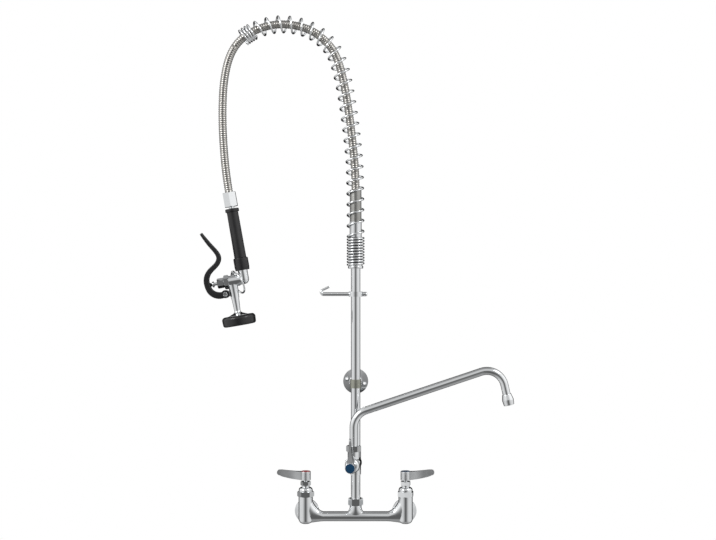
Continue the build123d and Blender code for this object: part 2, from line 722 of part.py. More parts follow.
def spout_parts():
    """Bent spout tube with its collar, the outlet barrel and the flow straightener."""
    rise, lean = radians(SPOUT_ARM_RISE), radians(SPOUT_DROP_LEAN)
    drop = Vector(sin(lean), 0, -cos(lean))
    outlet = Vector(SPOUT_REACH, 0, SPOUT_OUTLET_Z)
    fall = (SPOUT_KNEE_Z + SPOUT_REACH * tan(rise) - SPOUT_OUTLET_Z) / (cos(lean) + sin(lean) * tan(rise))
    crest = outlet - drop * fall
    foot = Vector(0, 0, SPOUT_FOOT + AIR)
    tube_end = outlet - drop * (TIP_LENGTH - TIP_SOCKET)
    path = FilletPolyline(foot, (0, 0, SPOUT_KNEE_Z), crest, tube_end, radius=SPOUT_BEND_R)
    tube = swept_tube(path, SPOUT_TUBE_R, SPOUT_TUBE_R - SPOUT_WALL)
    collar_low = SPOUT_NECK_TOP + RUN
    tube += pipe(SPOUT_COLLAR_R, SPOUT_TUBE_R - SPOUT_WALL, collar_low, collar_low + SPOUT_COLLAR_THICK)
    ledge = STRAIGHTENER_INSET + STRAIGHTENER_THICK
    barrel = turned(
        (STRAIGHTENER_R, 0),
        (TIP_END_R, 0, TIP_ROUND),
        (TIP_R, TIP_WIDEST, TIP_WIDEST),
        (TIP_NECK_R, TIP_LENGTH, TIP_ROUND),
        (SPOUT_TUBE_R + FIT, TIP_LENGTH),
        (SPOUT_TUBE_R + FIT, TIP_LENGTH - TIP_SOCKET),
        (TIP_LEDGE_R, TIP_LENGTH - TIP_SOCKET),
        (TIP_LEDGE_R, ledge),
        (STRAIGHTENER_R, ledge),
    )
    straightener = rod(STRAIGHTENER_R - FIT, STRAIGHTENER_INSET, ledge)
    straightener -= rod(STRAIGHTENER_HOLE_R, STRAIGHTENER_INSET, ledge)
    for hole in holes_on_circle(STRAIGHTENER_HOLE_R, STRAIGHTENER_PITCH_R, 6, STRAIGHTENER_INSET, ledge):
        straightener -= hole
    at_outlet = Plane(origin=outlet, x_dir=(0, 1, 0), z_dir=-drop)
    place = Pos(SPOUT_AXIS.X, SPOUT_AXIS.Y, 0)
    return place * tube, place * (at_outlet * barrel), place * (at_outlet * straightener)


def bracket_parts():
    """Wall flange, rod, riser clamp and clamp screws."""
    place = Pos(0, 0, BRACKET_Z) * ALONG_Y
    flange = turned(
        (0, -BRACKET_DEPTH),
        (BRACKET_BOSS_R, -BRACKET_DEPTH),
        (BRACKET_BOSS_R, -BRACKET_EDGE - 2, 3),
        (BRACKET_R, -BRACKET_EDGE),
        (BRACKET_R, 0),
        (0, 0),
    )
    flange -= rod(BRACKET_ROD_R + FIT, -BRACKET_DEPTH, -BRACKET_ROD_END)
    for angle in (BRACKET_HOLE_ANGLE, BRACKET_HOLE_ANGLE + 180):
        x, y = BRACKET_PCD / 2 * cos(radians(angle)), -BRACKET_PCD / 2 * sin(radians(angle))
        sink = turned(
            (0, 2 - BRACKET_EDGE),
            (BRACKET_HOLE_R, 2 - BRACKET_EDGE),
            (BRACKET_SINK_R, -BRACKET_EDGE - 1),
            (BRACKET_SINK_R, -BRACKET_DEPTH),
            (0, -BRACKET_DEPTH),
        )
        flange -= Pos(x, y, 0) * (rod(BRACKET_HOLE_R, -BRACKET_DEPTH, 0) + sink)
    ring_r = RISER_R + CLAMP_WALL
    boss_back = RISER_Y + RISER_R + CLAMP_BOSS_LENGTH
    rod_front = boss_back - CLAMP_SOCKET
    rod_piece = rod(BRACKET_ROD_R, rod_front, -BRACKET_ROD_END)
    upright = Pos(0, RISER_Y, BRACKET_Z) * rod(ring_r, -CLAMP_HEIGHT / 2, CLAMP_HEIGHT / 2)
    clamp = upright + place * rod(CLAMP_BOSS_R, RISER_Y, boss_back)
    clamp -= place * rod(BRACKET_ROD_R + FIT, rod_front, boss_back)
    clamp -= Pos(0, RISER_Y, BRACKET_Z) * rod(RISER_R + FIT, -CLAMP_HEIGHT, CLAMP_HEIGHT)
    screws = []
    at_screws = Pos(0, (rod_front + boss_back) / 2, BRACKET_Z)
    clamp -= at_screws * ALONG_X * rod(CLAMP_SCREW_R + FIT, -CLAMP_BOSS_R, CLAMP_BOSS_R)
    for turn in (0, 180):
        screw = rod(CLAMP_SCREW_R, BRACKET_ROD_R + FIT, CLAMP_BOSS_R + CLAMP_SCREW_PROUD)
        screw += rod(CLAMP_SCREW_HEAD_R, CLAMP_BOSS_R, CLAMP_BOSS_R + CLAMP_SCREW_PROUD)
        screws.append(at_screws * Rot(0, 0, turn) * ALONG_X * screw)
    return place * flange, place * rod_piece, clamp, screws


def hook_parts():
    """Collar with a rod that curls up and back at its end, and the thumb screw that holds it."""
    half = HOOK_COLLAR_HEIGHT / 2
    bend = Vector(-HOOK_BEND_X, 0, HOOK_BEND_R)
    hook = pipe(HOOK_COLLAR_R, RISER_R + FIT, -half, half)
    hook += bar_between((-(RISER_R + HOOK_COLLAR_R) / 2, 0, 0), (-HOOK_BEND_X, 0, 0), HOOK_ROD_R)
    sections = []
    for step in range(7):
        angle = radians(HOOK_BEND_TURN) * step / 6
        centre = bend + Vector(-sin(angle), 0, -cos(angle)) * HOOK_BEND_R
        heading = Vector(-cos(angle), 0, sin(angle))
        radius = HOOK_ROD_R + (HOOK_TIP_R - HOOK_ROD_R) * step / 6
        sections.append(Plane(origin=centre, x_dir=(0, 1, 0), z_dir=heading) * Circle(radius))
    hook += loft(sections)
    tip = centre + heading * HOOK_TIP_LENGTH
    hook += bar_between(centre, tip, HOOK_TIP_R)
    hook += Pos(*tip) * Sphere(HOOK_TIP_R)
    hook -= ALONG_X * rod(HOOK_SCREW_R + FIT, 0, HOOK_COLLAR_R + 1)
    head_start = HOOK_COLLAR_R + FIT
    screw = rod(HOOK_SCREW_R, RISER_R + FIT, head_start) + turned(
        (0, head_start),
        (HOOK_SCREW_HEAD_R, head_start, 1),
        (HOOK_SCREW_HEAD_R, head_start + HOOK_SCREW_HEAD_LENGTH, 3),
        (0, head_start + HOOK_SCREW_HEAD_LENGTH),
    )
    place = Pos(0, RISER_Y, HOOK_Z)
    return place * hook, place * (ALONG_X * screw)


def hub_parts():
    """Spring hub on the riser's top, with the hose nut and ferrule above it."""
    low, nipple_top = HUB_FLANGE_Z, SPRING_HUB_TOP + HUB_NIPPLE_HEIGHT
    socket_top = low + SPRING_HUB_SOCKET
    hub = turned(
        (RISER_R + FIT, low),
        (HUB_FLANGE_R, low, 1.5),
        (HUB_FLANGE_R, low + HUB_FLANGE_THICK, 1.5),
        (SPRING_HUB_R, low + HUB_FLANGE_THICK),
        (SPRING_HUB_R, SPRING_HUB_TOP),
        (HUB_NIPPLE_R, SPRING_HUB_TOP),
        (HUB_NIPPLE_R, nipple_top),
        (HUB_BORE_R, nipple_top),
        (HUB_BORE_R, socket_top),
        (RISER_R + FIT, socket_top),
    )
    nut_top = SPRING_HUB_TOP + HOSE_NUT_LENGTH
    nut = pipe(HOSE_NUT_R, HUB_BORE_R, SPRING_HUB_TOP, nut_top)
    nut -= rod(HUB_NIPPLE_R + FIT, SPRING_HUB_TOP, nipple_top)
    floor = FERRULE_TOP - FERRULE_SOCKET
    ferrule = turned(
        (HUB_BORE_R, nut_top),
        (FERRULE_R, nut_top),
        (FERRULE_R, FERRULE_TOP, 1),
        (HOSE_R + FIT, FERRULE_TOP),
        (HOSE_R + FIT, floor),
        (HUB_BORE_R, floor),
    )
    return AT_RISER * hub, AT_RISER * nut, AT_RISER * ferrule


def in_plane(point):
    """Point of the hose's route in the riser's plane."""
    return Vector(point[0], RISER_Y, point[1])


def route_radii(points):
    """Largest arc radius at each corner of the whole route."""
    radii = []
    for before, corner, after in zip(points, points[1:], points[2:]):
        arriving, leaving = corner - before, after - corner
        turn = radians(arriving.get_angle(leaving))
        radii.append(ARC_SHARE * min(arriving.length, leaving.length) / tan(turn / 2))
    return radii


def ribbed_hose(path, start_plain, end_plain):
    """Hose with ribs along a path and plain stretches at its ends."""
    length = path.length
    count = int((length - start_plain - end_plain) / RIB_PITCH)
    pitch = (length - start_plain - end_plain) / count
    stations = [(0.0, HOSE_R), (start_plain - 0.1 * pitch, HOSE_R)]
    for rib in range(count):
        foot = start_plain + rib * pitch
        shares = ((0.0, HOSE_VALLEY_R), (0.2, HOSE_R), (0.7, HOSE_R), (0.9, HOSE_VALLEY_R))
        stations += [(foot + share * pitch, radius) for share, radius in shares]
    stations += [(length - end_plain + 0.1 * pitch, HOSE_R), (length, HOSE_R)]
    sections = []
    for along, radius in stations:
        share = along / length
        plane = Plane(origin=path @ share, x_dir=(0, 1, 0), z_dir=path % share)
        sections.append(plane * Circle(radius))
    section = Plane(origin=path @ 0, x_dir=(0, 1, 0), z_dir=path % 0)
    return loft(sections, ruled=True) - sweep(section * Circle(HOSE_BORE_R), path)


def overhead_parts():
    """Spring on its curved axis and the two stretches of hose."""
    over = [in_plane(point) for point in OVERHEAD_POINTS]
    hang = [in_plane(point) for point in HANGING_POINTS]
    split = (over[-1] + hang[0]) * 0.5
    radii = route_radii(over + hang)
    print("hose radii:", [round(radius) for radius in radii])
    bends = len(over) - 1
    over_path = FilletPolyline(*over, split, radius=radii[:bends])
    hang_path = FilletPolyline(split, *hang, radius=radii[bends:])
    print(f"hose length: {over_path.length + hang_path.length:.0f} mm")
    spring_foot = Vector(0, RISER_Y, HUB_FLANGE_Z + HUB_FLANGE_THICK + SPRING_WIRE_R + AIR)
    axis = FilletPolyline(spring_foot, *over[1:], split, radius=radii[:bends])
    spring_length = axis.length - SPRING_END_GAP
    open_length = spring_length - CLOSED_TURNS * CLOSED_PITCH - END_TURNS * END_PITCH
    open_pitch = open_length / OPEN_TURNS
    pitches = [CLOSED_PITCH] * 2 * CLOSED_TURNS + [open_pitch] * 2 * OPEN_TURNS + [END_PITCH] * 2 * END_TURNS

    def on_spring(turns, advance):
        share = min(max(advance / axis.length, 0.0), 1.0)
        along = axis % share
        inward = along.cross(Vector(0, 1, 0))
        angle = 2 * pi * turns
        return axis @ share + (inward * cos(angle) + Vector(0, 1, 0) * sin(angle)) * SPRING_R

    spring = wound_wire(on_spring, pitches, SPRING_WIRE_R, "overhead spring")
    over_hose = ribbed_hose(over_path, FERRULE_SOCKET, RIB_SPLIT_END)
    hang_hose = ribbed_hose(hang_path, RIB_SPLIT_END, SWIVEL_LENGTH - SWIVEL_LIP - NIPPLE_FLANGE_THICK)
    return spring, over_hose, hang_hose


def gun_place():
    """Location of the spray valve's frame, hung from the hose's last run."""
    end, before = in_plane(HANGING_POINTS[-1]), in_plane(HANGING_POINTS[-2])
    tilt = degrees(atan2(end.X - before.X, before.Z - end.Z))
    hose_end = GRIP_LENGTH + NIPPLE_GAP + SWIVEL_LIP + NIPPLE_FLANGE_THICK + 2 * RUN
    up = (before - end).normalized()
    foot = end - up * hose_end
    return Pos(foot.X, foot.Y, foot.Z) * Rot(0, -tilt, 0)


def at_barrel(piece):
    """Piece along Z turned to lie along the valve barrel, its height becoming x."""
    return Pos(0, 0, BARREL_Z) * ALONG_X * piece


def swivel_nut():
    """Long hexagonal nut that joins hose and nipple."""
    low = GRIP_LENGTH + NIPPLE_GAP
    nut = hex_bar(SWIVEL_HEX, low, low + SWIVEL_LENGTH, SWIVEL_TURN)
    nut -= rod(NIPPLE_R + RUN, low, low + SWIVEL_LIP)
    return nut - rod(HOSE_R + FIT, low + SWIVEL_LIP, low + SWIVEL_LENGTH)


def grip():
    """Moulded sleeve with a collar at its foot and a flange at its top."""
    step = GRIP_COLLAR_HEIGHT
    flange_low = GRIP_LENGTH - GRIP_FLANGE_HEIGHT
    bore = HANDLE_TUBE_R + FIT
    return turned(
        (bore, 0),
        (GRIP_COLLAR_R - 0.75, 0),
        (GRIP_COLLAR_R, step * 0.25),
        (GRIP_COLLAR_R, step, 1.5),
        (GRIP_LOW_R, step + 1.5),
        (GRIP_R, flange_low),
        (GRIP_FLANGE_R, flange_low, 1.5),
        (GRIP_FLANGE_R, GRIP_LENGTH, 1.5),
        (bore, GRIP_LENGTH),
    )


def handle_tube():
    """Tube through the grip with a flanged nipple on top and an elbow below."""
    nipple_top = GRIP_LENGTH + NIPPLE_GAP + SWIVEL_LIP + RUN
    tube = rod(HANDLE_TUBE_R, 0, GRIP_LENGTH) + rod(NIPPLE_R, GRIP_LENGTH, nipple_top)
    tube += rod(NIPPLE_FLANGE_R, nipple_top, nipple_top + NIPPLE_FLANGE_THICK)
    tube += rod(ELBOW_R, BARREL_Z, 0) + Pos(0, 0, BARREL_Z) * Sphere(ELBOW_R)
    tube += at_barrel(rod(ELBOW_R, BARREL_RIGHT, 0))
    tube += at_barrel(rod(ELBOW_SPIGOT_R, -ELBOW_SPIGOT_END, BARREL_RIGHT))
    tube -= rod(NIPPLE_BORE_R, 0, nipple_top + NIPPLE_FLANGE_THICK)
    tube -= rod(HANDLE_BORE_R, BARREL_Z, GRIP_LENGTH - SWIVEL_LIP)
    tube -= Pos(0, 0, BARREL_Z) * Sphere(ELBOW_BORE_R)
    return tube - at_barrel(rod(ELBOW_BORE_R, -ELBOW_SPIGOT_END, 0))


def ring_frame():
    """Hinge direction and hanging direction of the hold-open ring."""
    yaw, lean = radians(RING_YAW), radians(RING_LEAN)
    hinge = Vector(sin(yaw), -cos(yaw), 0)
    level = Vector(cos(yaw), sin(yaw), 0)
    return hinge, level * sin(lean) - UP * cos(lean)


def spray_body():
    """Valve body: barrel with its seat, outlet, lever lug and the eye for the ring."""
    eye, hinge = Vector(*RING_EYE), ring_frame()[0]
    body = at_barrel(rod(BARREL_R, BARREL_LEFT, BARREL_RIGHT))
    body += Pos(OUTLET_X, 0, 0) * turned(
        (0, OUTLET_END),
        (OUTLET_R, OUTLET_END),
        (OUTLET_TOP_R, BARREL_Z),
        (0, BARREL_Z),
    )
    body -= at_barrel(rod(GUN_HEX / 2 / cos(pi / 6) + AIR, BARREL_LEFT - GUN_HEX_LENGTH, BARREL_LEFT))
    body += Pos((LEVER_PIVOT_X + OUTLET_X) / 2, 0, LEVER_PIVOT_Z) * Box(
        OUTLET_X - LEVER_PIVOT_X, LUG_THICK, 2 * LUG_R
    )
    body += Pos(LEVER_PIVOT_X, 0, LEVER_PIVOT_Z) * ALONG_Y * rod(LUG_R, -LUG_THICK / 2, LUG_THICK / 2)
    stand = eye.Z - BARREL_Z
    body += Pos(eye.X, 0, BARREL_Z + stand / 2) * Box(EYE_THICK, EYE_THICK, stand)
    body += bar_between(eye - hinge * (EYE_THICK / 2), eye + hinge * (EYE_THICK / 2), EYE_R)
    body -= bar_between(eye - hinge * EYE_R * 2, eye + hinge * EYE_R * 2, RING_WIRE_R + AIR)
    body -= Pos(LEVER_PIVOT_X, 0, LEVER_PIVOT_Z) * ALONG_Y * rod(PIVOT_R + RUN, -LUG_THICK, LUG_THICK)
    body -= at_barrel(rod(ELBOW_SPIGOT_R + FIT, -ELBOW_SPIGOT_END, BARREL_RIGHT))
    body -= at_barrel(rod(VALVE_WASHER_R + 1, SEAT_X, -ELBOW_SPIGOT_END))
    body -= at_barrel(rod(SEAT_HOLE_R, SEAT_X - SEAT_THICK, SEAT_X))
    body -= at_barrel(rod(BARREL_BORE_R, BARREL_LEFT, SEAT_X - SEAT_THICK))
    return body - Pos(OUTLET_X, 0, 0) * rod(OUTLET_BORE_R, OUTLET_END, BARREL_Z)


def spray_bonnet():
    """Large nut, neck and stem nut that close the barrel's left end."""
    hex_left = BARREL_LEFT - GUN_HEX_LENGTH
    stem_nut = hex_left - GUN_PACKING_LENGTH
    bonnet = hex_bar(GUN_HEX, hex_left, BARREL_LEFT) + hex_bar(GUN_PACKING_HEX, stem_nut, hex_left - 1)
    bonnet += rod(STEM_THREAD_R, hex_left - 1, hex_left)
    bonnet += rod(BARREL_BORE_R - FIT, BARREL_LEFT, BARREL_LEFT + 1.5)
    bonnet -= rod(GUN_BONNET_BORE_R, hex_left + GUN_BONNET_WALL, BARREL_LEFT + 1.5)
    return at_barrel(bonnet - rod(STEM_R + RUN, stem_nut, BARREL_LEFT))


def plunger_parts():
    """Stem with cap, spring collar and washer head; the washer; the return spring."""
    washer_right = SEAT_X + VALVE_WASHER_THICK
    plunger = turned(
        (0, STEM_CAP_END),
        (STEM_CAP_R, STEM_CAP_END, 1.5),
        (STEM_CAP_R, STEM_CAP_END + STEM_CAP_THICK),
        (STEM_R, STEM_CAP_END + STEM_CAP_THICK),
        (STEM_R, SEAT_X),
        (WASHER_PIN_R, SEAT_X),
        (WASHER_PIN_R, washer_right),
        (PLUNGER_HEAD_R, washer_right),
        (PLUNGER_HEAD_R, washer_right + PLUNGER_HEAD_THICK),
        (0, washer_right + PLUNGER_HEAD_THICK),
    )
    collar = PLUNGER_COLLAR_X
    plunger += rod(PLUNGER_COLLAR_R, collar - PLUNGER_COLLAR_THICK, collar)
    washer = pipe(VALVE_WASHER_R, WASHER_PIN_R + FIT, SEAT_X, washer_right)
    low, high = collar + RETURN_WIRE_R + FIT, SEAT_X - SEAT_THICK - RETURN_WIRE_R - FIT
    pitch = (high - low) / RETURN_TURNS

    def on_spring(turns, advance):
        angle = 2 * pi * turns
        return Vector(RETURN_COIL_R * cos(angle), RETURN_COIL_R * sin(angle), low + advance)

    spring = wound_wire(on_spring, [pitch] * 2 * RETURN_TURNS, RETURN_WIRE_R, "return spring")
    return at_barrel(plunger), at_barrel(washer), at_barrel(spring)


def squeeze_lever():
    """Double-curved lever with a forked eye and a rounded pad that meets the stem."""
    points = [Vector(x, 0, z) for x, z, thick in SQUEEZE_STATIONS]
    outer, inner = [], []
    for k, (x, z, thick) in enumerate(SQUEEZE_STATIONS):
        heading = points[min(k + 1, len(points) - 1)] - points[max(k - 1, 0)]
        across = heading.normalized().cross(Vector(0, 1, 0)) * (thick / 2)
        outer.append(points[k] + across)
        inner.append(points[k] - across)
    ends = [Line(outer[-1], inner[-1]), Line(inner[0], outer[0])]
    profile = make_face([Spline(*outer), Spline(*inner), *ends])
    lever = extrude(Pos(0, -LEVER_WIDTH / 2, 0) * profile, LEVER_WIDTH, dir=(0, 1, 0))
    sides = lever.faces().sort_by(Axis.Y)
    lever = fillet(sides[0].edges() + sides[-1].edges(), SQUEEZE_ROUND)
    pivot = Pos(LEVER_PIVOT_X, 0, LEVER_PIVOT_Z)
    half = LEVER_WIDTH / 2
    slot = LUG_THICK + 2 * AIR
    lever += pivot * ALONG_Y * rod(LEVER_EYE_R, -half, half)
    pad_x = STEM_CAP_END - PAD_SLACK - PAD_R
    bulge_x = min(x for x, z, thick in SQUEEZE_STATIONS)
    lever += Pos(pad_x, 0, BARREL_Z) * ALONG_Y * rod(PAD_R, -half / 2, half / 2)
    lever += Pos((pad_x + bulge_x) / 2, 0, BARREL_Z) * Box(pad_x - bulge_x, half, 2 * PAD_R)
    lever -= pivot * ALONG_Y * rod(LUG_R + 2 * AIR, -slot / 2, slot / 2)
    lever -= pivot * Pos(LEVER_EYE_R, 0, 0) * Box(2 * LEVER_EYE_R, slot, 2 * LEVER_EYE_R + 1)
    lever -= pivot * ALONG_Y * rod(PIVOT_R + FIT, -half, half)
    screw = rod(PIVOT_R, -half, half) + turned(
        (0, -half - PIVOT_HEAD_THICK),
        (PIVOT_HEAD_R - 0.8, -half - PIVOT_HEAD_THICK),
        (PIVOT_HEAD_R, -half - PIVOT_HEAD_THICK + 0.8),
        (PIVOT_HEAD_R, -half),
        (0, -half),
    )
    screw -= Pos(0, 0, -half - PIVOT_HEAD_THICK) * Box(2 * PIVOT_HEAD_R, PIVOT_SLOT, 2 * PIVOT_SLOT)
    return lever, pivot * ALONG_Y * screw


def hold_ring():
    """Wire ring that hangs in the eye and loops round the barrel."""
    hinge, down = ring_frame()
    centre = Vector(*RING_EYE) + down * RING_R
    return Plane(origin=centre, x_dir=hinge, z_dir=hinge.cross(down)) * Torus(RING_R, RING_WIRE_R)


def head_parts():
    """Spray head, perforated face and rubber bumper, on the outlet's axis."""
    place = Pos(OUTLET_X, 0, 0)
    inner = HEAD_SKIRT_R - HEAD_WALL
    head = turned(
        (HEAD_BORE_R, OUTLET_END),
        (OUTLET_R - 0.6, OUTLET_END),
        (HEAD_NECK_R, HEAD_NECK_END, 6),
        (HEAD_SHOULDER_R, HEAD_SHOULDER_Z),
        (HEAD_SHOULDER_R, HEAD_SKIRT_TOP),
        (HEAD_SKIRT_R, HEAD_SKIRT_TOP),
        (HEAD_SKIRT_R, HEAD_SKIRT_END),
        (inner, HEAD_SKIRT_END),
        (inner, HEAD_SKIRT_TOP - HEAD_WALL),
        (HEAD_BORE_R, HEAD_SHOULDER_Z - HEAD_WALL),
    )
    bumper = turned(
        (HEAD_SHOULDER_R + FIT, BUMPER_TOP),
        (BUMPER_R, BUMPER_TOP, BUMPER_ROUND),
        (BUMPER_R - 1, BUMPER_END, BUMPER_ROUND * 0.75),
        (BUMPER_MOUTH_R, BUMPER_END),
        (inner - 0.8, HEAD_SKIRT_END - BUMPER_LIP),
        (inner - 0.8, HEAD_SKIRT_END - FIT),
        (HEAD_SKIRT_R + FIT, HEAD_SKIRT_END - FIT),
        (HEAD_SKIRT_R + FIT, HEAD_SKIRT_TOP + FIT),
        (HEAD_SHOULDER_R + FIT, HEAD_SKIRT_TOP + FIT),
    )
    low, high = HEAD_SKIRT_END, HEAD_SKIRT_END + FACE_THICK
    face = rod(inner - FIT, low, high)
    for count, pitch_r in JET_RINGS:
        for jet in holes_on_circle(JET_R, pitch_r, count, low, high):
            face -= jet
    face += turned(
        (0, low + 0.2),
        (FACE_SCREW_R, low + 0.2),
        (FACE_SCREW_R, low - 1.0),
        (FACE_SCREW_R - 1, low - 1.8),
        (0, low - 1.8),
    )
    return place * head, place * face, place * bumper


def assemble():
    """Every piece by node name; a list holds the separate solids of one node."""
    nodes = {"mixing_body": mixing_body()}
    unions = {side: inlet(side) for side in (-1, 1)}
    nodes["hot_inlet_flange"], nodes["cold_inlet_flange"] = unions[-1][0], unions[1][0]
    nodes["union_nuts"] = [piece for side in (-1, 1) for piece in unions[side][1:3]]
    nodes["riser_nut"], riser_washer, nodes["lower_riser"], nodes["upper_riser"] = column()
    nodes["joint_washers"] = [unions[-1][3], unions[1][3], riser_washer]
    nodes["addon_body"], spout_ring, nodes["spout_nut"] = addon_body()
    addon_top = TEE_CENTRE + FORWARD * ADDON_REACH
    places = {
        "hot": (Pos(-HALF, RISER_Y, CHAMBER_TOP) * Rot(0, 0, 180), HOT_HEX_TURN),
        "cold": (Pos(HALF, RISER_Y, CHAMBER_TOP), COLD_HEX_TURN),
        "addon": (Plane(origin=addon_top, x_dir=UP, z_dir=FORWARD).location, ADDON_HEX_TURN),
    }
    nodes["packing_nuts"], nodes["fixed_discs"], nodes["o_rings"] = [], [], [spout_ring]
    for name, (place, hex_turn) in places.items():
        pieces = valve(place, hex_turn)
        nodes["packing_nuts"].append(pieces["packing"])
        nodes["fixed_discs"].append(pieces["fixed_disc"])
        nodes["o_rings"].append(pieces["stem_ring"])
        for piece in ("bonnet", "disc", "spindle", "handle", "screw", "index"):
            nodes[f"{name}_{piece}"] = pieces[piece]
    nodes["spout"], nodes["spout_tip"], nodes["flow_straightener"] = spout_parts()
    nodes["bracket_flange"], nodes["bracket_rod"], nodes["riser_clamp"], screws = bracket_parts()
    nodes["clamp_screws"] = screws
    nodes["finger_hook"], nodes["hook_screw"] = hook_parts()
    nodes["spring_hub"], nodes["hose_nut"], nodes["hose_ferrule"] = hub_parts()
    nodes["overhead_spring"], nodes["overhead_hose"], nodes["hanging_hose"] = overhead_parts()
    gun = {
        "swivel_nut": swivel_nut(),
        "grip": grip(),
        "handle_tube": handle_tube(),
        "spray_body": spray_body(),
        "spray_bonnet": spray_bonnet(),
        "hold_ring": hold_ring(),
    }
    gun["plunger"], gun["valve_washer"], gun["return_spring"] = plunger_parts()
    gun["squeeze_lever"], gun["lever_screw"] = squeeze_lever()
    gun["spray_head"], gun["spray_face"], gun["bumper"] = head_parts()
    place = gun_place()
    nodes.update({name: place * piece for name, piece in gun.items()})
    return nodes


def main():
    os.makedirs("parts", exist_ok=True)
    for name, piece in assemble().items():
        shape = Compound(children=[part for part in piece]) if isinstance(piece, list) else piece
        export_step(shape, f"parts/{name}.step")


main()
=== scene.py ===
# %% [markdown]
# # A wall-mounted pre-rinse faucet
#
# This lesson dresses the finished solids of a kitchen pre-rinse faucet: polished chrome castings
# and tubes, a ribbed steel hose inside a wound spring, and a black rubber spray valve. The solids
# give every size and place. Here they get their finishes, and the wound pieces, a hose in two
# stretches and two springs, are made again as finer meshes.

# %% Load the frame
import json
import math
import bmesh
import bpy
from mathutils import Matrix, Vector


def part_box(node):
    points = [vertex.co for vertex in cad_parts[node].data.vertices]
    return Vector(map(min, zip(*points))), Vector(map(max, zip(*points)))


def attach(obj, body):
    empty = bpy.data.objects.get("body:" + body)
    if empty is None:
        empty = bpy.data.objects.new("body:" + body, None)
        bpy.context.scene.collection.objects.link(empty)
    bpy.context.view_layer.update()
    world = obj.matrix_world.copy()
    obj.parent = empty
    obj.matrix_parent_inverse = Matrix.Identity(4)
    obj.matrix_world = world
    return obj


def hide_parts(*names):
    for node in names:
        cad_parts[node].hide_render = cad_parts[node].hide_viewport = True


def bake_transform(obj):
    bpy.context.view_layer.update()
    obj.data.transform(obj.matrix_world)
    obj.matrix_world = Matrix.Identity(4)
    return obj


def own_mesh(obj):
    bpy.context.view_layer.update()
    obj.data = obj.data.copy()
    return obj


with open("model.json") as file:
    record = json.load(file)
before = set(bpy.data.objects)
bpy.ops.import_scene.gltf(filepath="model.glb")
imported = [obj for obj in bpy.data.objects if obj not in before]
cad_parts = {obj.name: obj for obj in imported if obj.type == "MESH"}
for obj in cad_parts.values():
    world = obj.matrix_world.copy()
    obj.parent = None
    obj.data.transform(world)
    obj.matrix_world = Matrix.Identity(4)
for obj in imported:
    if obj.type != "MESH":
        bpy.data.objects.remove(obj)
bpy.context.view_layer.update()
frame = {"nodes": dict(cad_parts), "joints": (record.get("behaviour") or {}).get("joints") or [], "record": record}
nodes = frame["nodes"]
joints = {joint["name"]: joint for joint in frame["joints"]}


def new_object(name, data):
    """New object in the scene, at the origin."""
    made = bpy.data.objects.new(name, data)
    bpy.context.scene.collection.objects.link(made)
    return made


# %% [markdown]
# ## The camera
#
# The product is seen square on from the front, level with the middle of the column, through a long
# lens. The lens is long because the far wall flanges look almost as large as the near valves. A
# camera that stands level keeps the riser upright, so nothing has to be corrected afterwards.

# %% Camera level with the column
CAMERA_PLACE = Vector((0.0048, -2.7105, 0.501))
SENSOR_WIDTH = 36.0
LENS = 65.4

camera_data = bpy.data.cameras.new("front_camera")
camera_data.sensor_fit = "HORIZONTAL"
camera_data.sensor_width = SENSOR_WIDTH
camera_data.lens = LENS
camera = new_object("front_camera", camera_data)
camera.location = CAMERA_PLACE
camera.rotation_euler = (math.radians(90), 0, 0)
bpy.context.scene.camera = camera
print(f"camera {CAMERA_PLACE.length:.2f} m from the wall's origin, {LENS} mm lens")

# %% [markdown]
# ## The hose's line
#
# The hose leaves a ferrule above the hub, climbs inside the spring, goes over in an arch and hangs
# down to the spray valve. Its line is one smooth NURBS curve of order three: the points below pull
# the curve towards them, as a stiff hose is pulled, and no corner is left. Order and end rule are
# set after the points are there, because a spline with too few points falls back to straight runs.

# %% One smooth route for hose and spring
RISER_Y = -0.0635
LINE_ORDER = 3
LINE_STEPS = 24
CLIMB_POINTS = (
    (0.0, 0.640), (0.0, 0.696), (-0.0062, 0.7615), (-0.0133, 0.8205), (-0.0227, 0.8775),
    (-0.0343, 0.9254), (-0.0508, 0.9581), (-0.0903, 0.9914), (-0.1461, 1.0033),
    (-0.1937, 0.9950), (-0.2345, 0.9720),
)
DROP_POINTS = (
    (-0.2573, 0.9376), (-0.2683, 0.8877), (-0.2713, 0.8348), (-0.2705, 0.7798),
    (-0.2666, 0.7248), (-0.2613, 0.6790), (-0.2539, 0.6367),
)


def in_riser_plane(point):
    """Place of an (x, z) pair in the riser's upright plane."""
    x, z = point
    return Vector((x, RISER_Y, z))


def curve_mesh(name, data):
    """Mesh of a curve, read through an object that is removed again."""
    holder = new_object(name, data)
    depsgraph = bpy.context.evaluated_depsgraph_get()
    mesh = bpy.data.meshes.new_from_object(holder.evaluated_get(depsgraph))
    bpy.data.objects.remove(holder)
    return mesh


def smooth_line(name, points):
    """Points along a NURBS curve that is pulled by (x, z) pairs in the riser's plane."""
    data = bpy.data.curves.new(name, "CURVE")
    data.dimensions = "3D"
    data.resolution_u = LINE_STEPS
    spline = data.splines.new("NURBS")
    spline.points.add(len(points) - 1)
    for spot, point in zip(spline.points, points):
        spot.co = (*in_riser_plane(point), 1.0)
    spline.order_u = LINE_ORDER
    spline.use_endpoint_u = True
    return [vertex.co.copy() for vertex in curve_mesh(name, data).vertices]


def nearest(line, place):
    """Index of the point of a line that lies nearest to a place."""
    return min(range(len(line)), key=lambda k: (line[k] - place).length)


hose_line = smooth_line("hose_line", CLIMB_POINTS + DROP_POINTS)
split = (in_riser_plane(CLIMB_POINTS[-1]) + in_riser_plane(DROP_POINTS[0])) / 2
turn_over = nearest(hose_line, split)
climb_line = hose_line[:turn_over + 1]
drop_line = hose_line[turn_over:]
print(f"the hose line has {len(hose_line)} points and turns over at",
      tuple(round(c, 4) for c in drop_line[0]))

